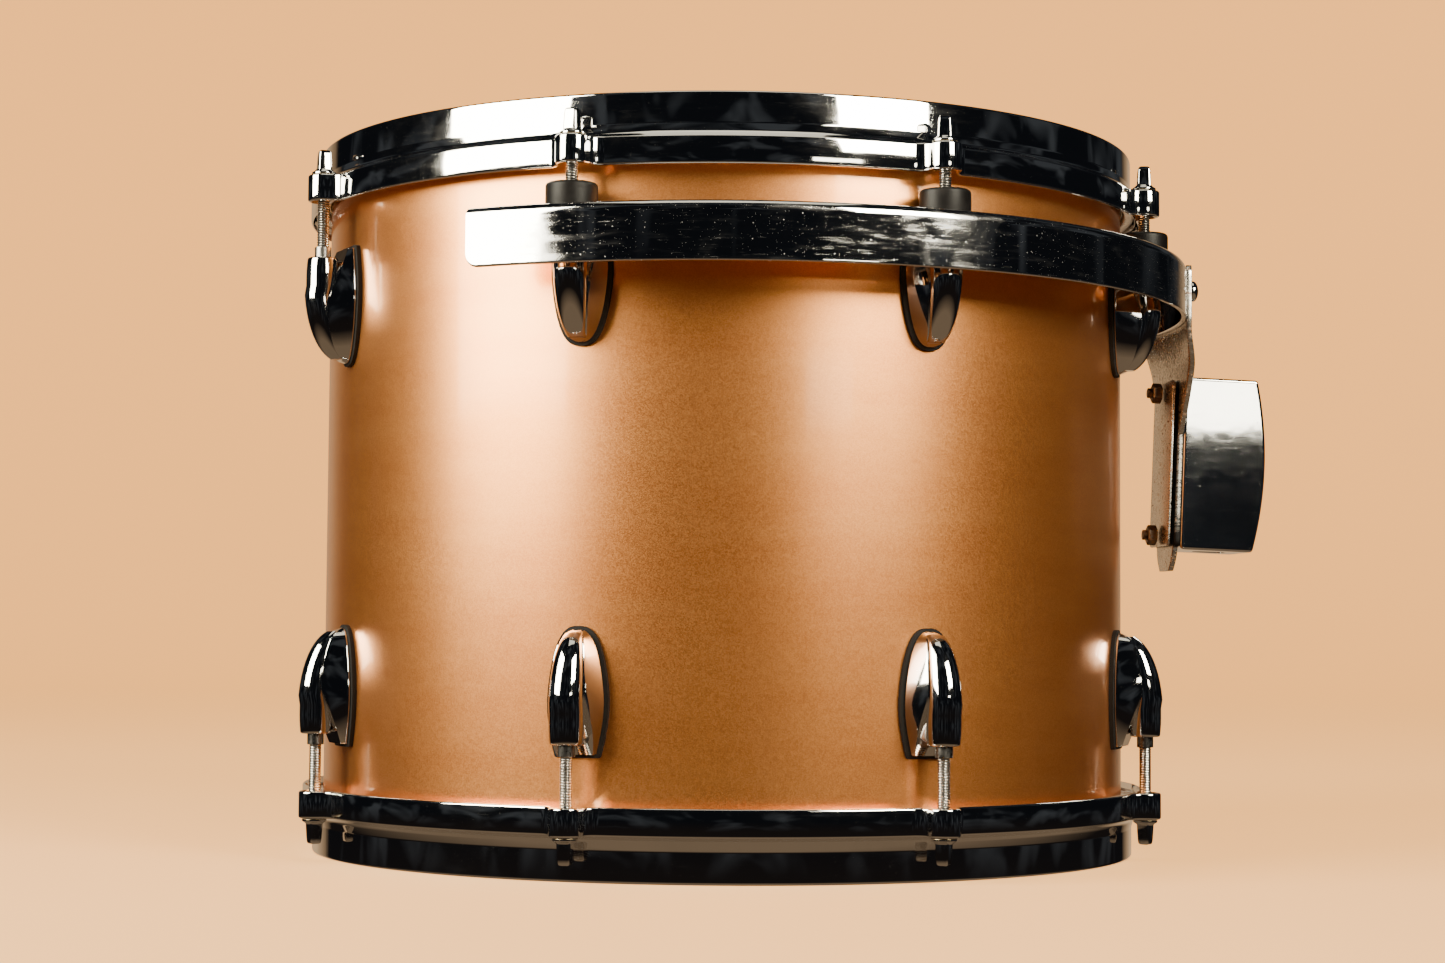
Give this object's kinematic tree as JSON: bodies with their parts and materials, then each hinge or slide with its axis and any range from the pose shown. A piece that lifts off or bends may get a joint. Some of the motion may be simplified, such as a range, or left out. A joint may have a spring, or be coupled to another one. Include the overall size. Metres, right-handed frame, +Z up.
{
  "type": "rack tom drum",
  "caption": "Cylindrical double-headed rack tom with die-cast hoops, bullet lugs, tension rods and a suspension band mount carrying a clamp.",
  "frame": {"origin": "centre of the batter head's playing face, on the drum's axis", "axes": "+Z up out of the batter head along the drum's axis, +X towards the mount's clamp"},
  "size_m": [0.43, 0.412, 0.3055],
  "materials": {
    "lacquered_shell": "copper metallic lacquer under clear gloss outside, bare maple inside",
    "chrome": "polished chrome plate, light haze and handling marks",
    "plate_steel": "polished steel, lightly tarnished",
    "dark_steel": "rusted zinc-plated steel",
    "rubber": "black moulded rubber",
    "coated_film": "white coated polyester film",
    "clear_film": "clear polyester film",
    "aluminium": "satin"
  },
  "bodies": {
    "drum": {"shell": "lacquered_shell", "air_vent": "chrome", "batter_head": "coated_film", "resonant_head": "clear_film", "batter_lug_1": "chrome", "batter_lug_2": "chrome", "batter_lug_3": "chrome", "batter_lug_4": "chrome", "batter_lug_5": "chrome", "batter_lug_6": "chrome", "batter_lug_7": "chrome", "batter_lug_8": "chrome", "resonant_lug_1": "chrome", "resonant_lug_2": "chrome", "resonant_lug_3": "chrome", "resonant_lug_4": "chrome", "resonant_lug_5": "chrome", "resonant_lug_6": "chrome", "resonant_lug_7": "chrome", "resonant_lug_8": "chrome"},
    "batter_rim": {"batter_hoop": "chrome", "batter_flesh_hoop": "aluminium"},
    "resonant_rim": {"resonant_hoop": "chrome", "resonant_flesh_hoop": "aluminium"},
    "mount": {"mount_band": "chrome", "grommet_1": "rubber", "grommet_2": "rubber", "grommet_3": "rubber", "grommet_4": "rubber", "grommet_5": "rubber", "grommet_6": "rubber", "mount_plate": "plate_steel", "plate_bolt_1": "chrome", "plate_bolt_2": "chrome", "clamp_housing": "chrome", "clamp_pad": "rubber", "clamp_backing_plate": "plate_steel", "clamp_nut_1": "dark_steel", "clamp_nut_2": "dark_steel"},
    "jaw": {"clamp_jaw": "plate_steel"},
    "wing": {"wing_bolt": "chrome"},
    "batter_rod_1": {"batter_rod_1": "chrome"},
    "batter_rod_2": {"batter_rod_2": "chrome"},
    "batter_rod_3": {"batter_rod_3": "chrome"},
    "batter_rod_4": {"batter_rod_4": "chrome"},
    "batter_rod_5": {"batter_rod_5": "chrome"},
    "batter_rod_6": {"batter_rod_6": "chrome"},
    "batter_rod_7": {"batter_rod_7": "chrome"},
    "batter_rod_8": {"batter_rod_8": "chrome"},
    "resonant_rod_1": {"resonant_rod_1": "chrome"},
    "resonant_rod_2": {"resonant_rod_2": "chrome"},
    "resonant_rod_3": {"resonant_rod_3": "chrome"},
    "resonant_rod_4": {"resonant_rod_4": "chrome"},
    "resonant_rod_5": {"resonant_rod_5": "chrome"},
    "resonant_rod_6": {"resonant_rod_6": "chrome"},
    "resonant_rod_7": {"resonant_rod_7": "chrome"},
    "resonant_rod_8": {"resonant_rod_8": "chrome"}
  },
  "joints": [
    {"name": "batter_hoop_slide", "type": "slide", "parent": "drum", "child": "batter_rim", "axis": [0, 0, 1], "range_m": [0, 0.00317]},
    {"name": "resonant_hoop_slide", "type": "slide", "parent": "drum", "child": "resonant_rim", "axis": [0, 0, -1], "range_m": [0, 0.00317]},
    {"name": "batter_rod_turn_1", "type": "hinge", "parent": "batter_rim", "child": "batter_rod_1", "pos_m": [-0.07271, -0.17554, -0.0052], "axis": [0, 0, 1], "range_deg": [0, 1081]},
    {"name": "batter_rod_turn_2", "type": "hinge", "parent": "batter_rim", "child": "batter_rod_2", "pos_m": [0.07271, -0.17554, -0.0052], "axis": [0, 0, 1], "range_deg": [0, 1081]},
    {"name": "batter_rod_turn_3", "type": "hinge", "parent": "batter_rim", "child": "batter_rod_3", "pos_m": [0.17554, -0.07271, -0.0052], "axis": [0, 0, 1], "range_deg": [0, 1081]},
    {"name": "batter_rod_turn_4", "type": "hinge", "parent": "batter_rim", "child": "batter_rod_4", "pos_m": [0.17554, 0.07271, -0.0052], "axis": [0, 0, 1], "range_deg": [0, 1081]},
    {"name": "batter_rod_turn_5", "type": "hinge", "parent": "batter_rim", "child": "batter_rod_5", "pos_m": [0.07271, 0.17554, -0.0052], "axis": [0, 0, 1], "range_deg": [0, 1081]},
    {"name": "batter_rod_turn_6", "type": "hinge", "parent": "batter_rim", "child": "batter_rod_6", "pos_m": [-0.07271, 0.17554, -0.0052], "axis": [0, 0, 1], "range_deg": [0, 1081]},
    {"name": "batter_rod_turn_7", "type": "hinge", "parent": "batter_rim", "child": "batter_rod_7", "pos_m": [-0.17554, 0.07271, -0.0052], "axis": [0, 0, 1], "range_deg": [0, 1081]},
    {"name": "batter_rod_turn_8", "type": "hinge", "parent": "batter_rim", "child": "batter_rod_8", "pos_m": [-0.17554, -0.07271, -0.0052], "axis": [0, 0, 1], "range_deg": [0, 1081]},
    {"name": "resonant_rod_turn_1", "type": "hinge", "parent": "resonant_rim", "child": "resonant_rod_1", "pos_m": [-0.07271, -0.17554, -0.2747], "axis": [0, 0, -1], "range_deg": [0, 1081]},
    {"name": "resonant_rod_turn_2", "type": "hinge", "parent": "resonant_rim", "child": "resonant_rod_2", "pos_m": [0.07271, -0.17554, -0.2747], "axis": [0, 0, -1], "range_deg": [0, 1081]},
    {"name": "resonant_rod_turn_3", "type": "hinge", "parent": "resonant_rim", "child": "resonant_rod_3", "pos_m": [0.17554, -0.07271, -0.2747], "axis": [0, 0, -1], "range_deg": [0, 1081]},
    {"name": "resonant_rod_turn_4", "type": "hinge", "parent": "resonant_rim", "child": "resonant_rod_4", "pos_m": [0.17554, 0.07271, -0.2747], "axis": [0, 0, -1], "range_deg": [0, 1081]},
    {"name": "resonant_rod_turn_5", "type": "hinge", "parent": "resonant_rim", "child": "resonant_rod_5", "pos_m": [0.07271, 0.17554, -0.2747], "axis": [0, 0, -1], "range_deg": [0, 1081]},
    {"name": "resonant_rod_turn_6", "type": "hinge", "parent": "resonant_rim", "child": "resonant_rod_6", "pos_m": [-0.07271, 0.17554, -0.2747], "axis": [0, 0, -1], "range_deg": [0, 1081]},
    {"name": "resonant_rod_turn_7", "type": "hinge", "parent": "resonant_rim", "child": "resonant_rod_7", "pos_m": [-0.17554, 0.07271, -0.2747], "axis": [0, 0, -1], "range_deg": [0, 1081]},
    {"name": "resonant_rod_turn_8", "type": "hinge", "parent": "resonant_rim", "child": "resonant_rod_8", "pos_m": [-0.17554, -0.07271, -0.2747], "axis": [0, 0, -1], "range_deg": [0, 1081]},
    {"name": "mount_float", "type": "slide", "parent": "drum", "child": "mount", "axis": [0, 0, 1], "range_m": [0, 0.0065]},
    {"name": "jaw_slide", "type": "slide", "parent": "mount", "child": "jaw", "axis": [0, 1, 0], "range_m": [0, 0.00375]},
    {"name": "wing_turn", "type": "hinge", "parent": "jaw", "child": "wing", "pos_m": [0.22403, 0, -0.1194], "axis": [0, 1, 0], "range_deg": [0, 1081]}
  ],
  "couplings": [
    {"joint": "batter_rod_turn_1", "follows": "batter_hoop_slide", "rad_per_m": 5937.1},
    {"joint": "batter_rod_turn_2", "follows": "batter_hoop_slide", "rad_per_m": 5937.1},
    {"joint": "batter_rod_turn_3", "follows": "batter_hoop_slide", "rad_per_m": 5937.1},
    {"joint": "batter_rod_turn_4", "follows": "batter_hoop_slide", "rad_per_m": 5937.1},
    {"joint": "batter_rod_turn_5", "follows": "batter_hoop_slide", "rad_per_m": 5937.1},
    {"joint": "batter_rod_turn_6", "follows": "batter_hoop_slide", "rad_per_m": 5937.1},
    {"joint": "batter_rod_turn_7", "follows": "batter_hoop_slide", "rad_per_m": 5937.1},
    {"joint": "batter_rod_turn_8", "follows": "batter_hoop_slide", "rad_per_m": 5937.1},
    {"joint": "resonant_rod_turn_1", "follows": "resonant_hoop_slide", "rad_per_m": 5937.1},
    {"joint": "resonant_rod_turn_2", "follows": "resonant_hoop_slide", "rad_per_m": 5937.1},
    {"joint": "resonant_rod_turn_3", "follows": "resonant_hoop_slide", "rad_per_m": 5937.1},
    {"joint": "resonant_rod_turn_4", "follows": "resonant_hoop_slide", "rad_per_m": 5937.1},
    {"joint": "resonant_rod_turn_5", "follows": "resonant_hoop_slide", "rad_per_m": 5937.1},
    {"joint": "resonant_rod_turn_6", "follows": "resonant_hoop_slide", "rad_per_m": 5937.1},
    {"joint": "resonant_rod_turn_7", "follows": "resonant_hoop_slide", "rad_per_m": 5937.1},
    {"joint": "resonant_rod_turn_8", "follows": "resonant_hoop_slide", "rad_per_m": 5937.1},
    {"joint": "wing_turn", "follows": "jaw_slide", "rad_per_m": 5026.5}
  ]
}
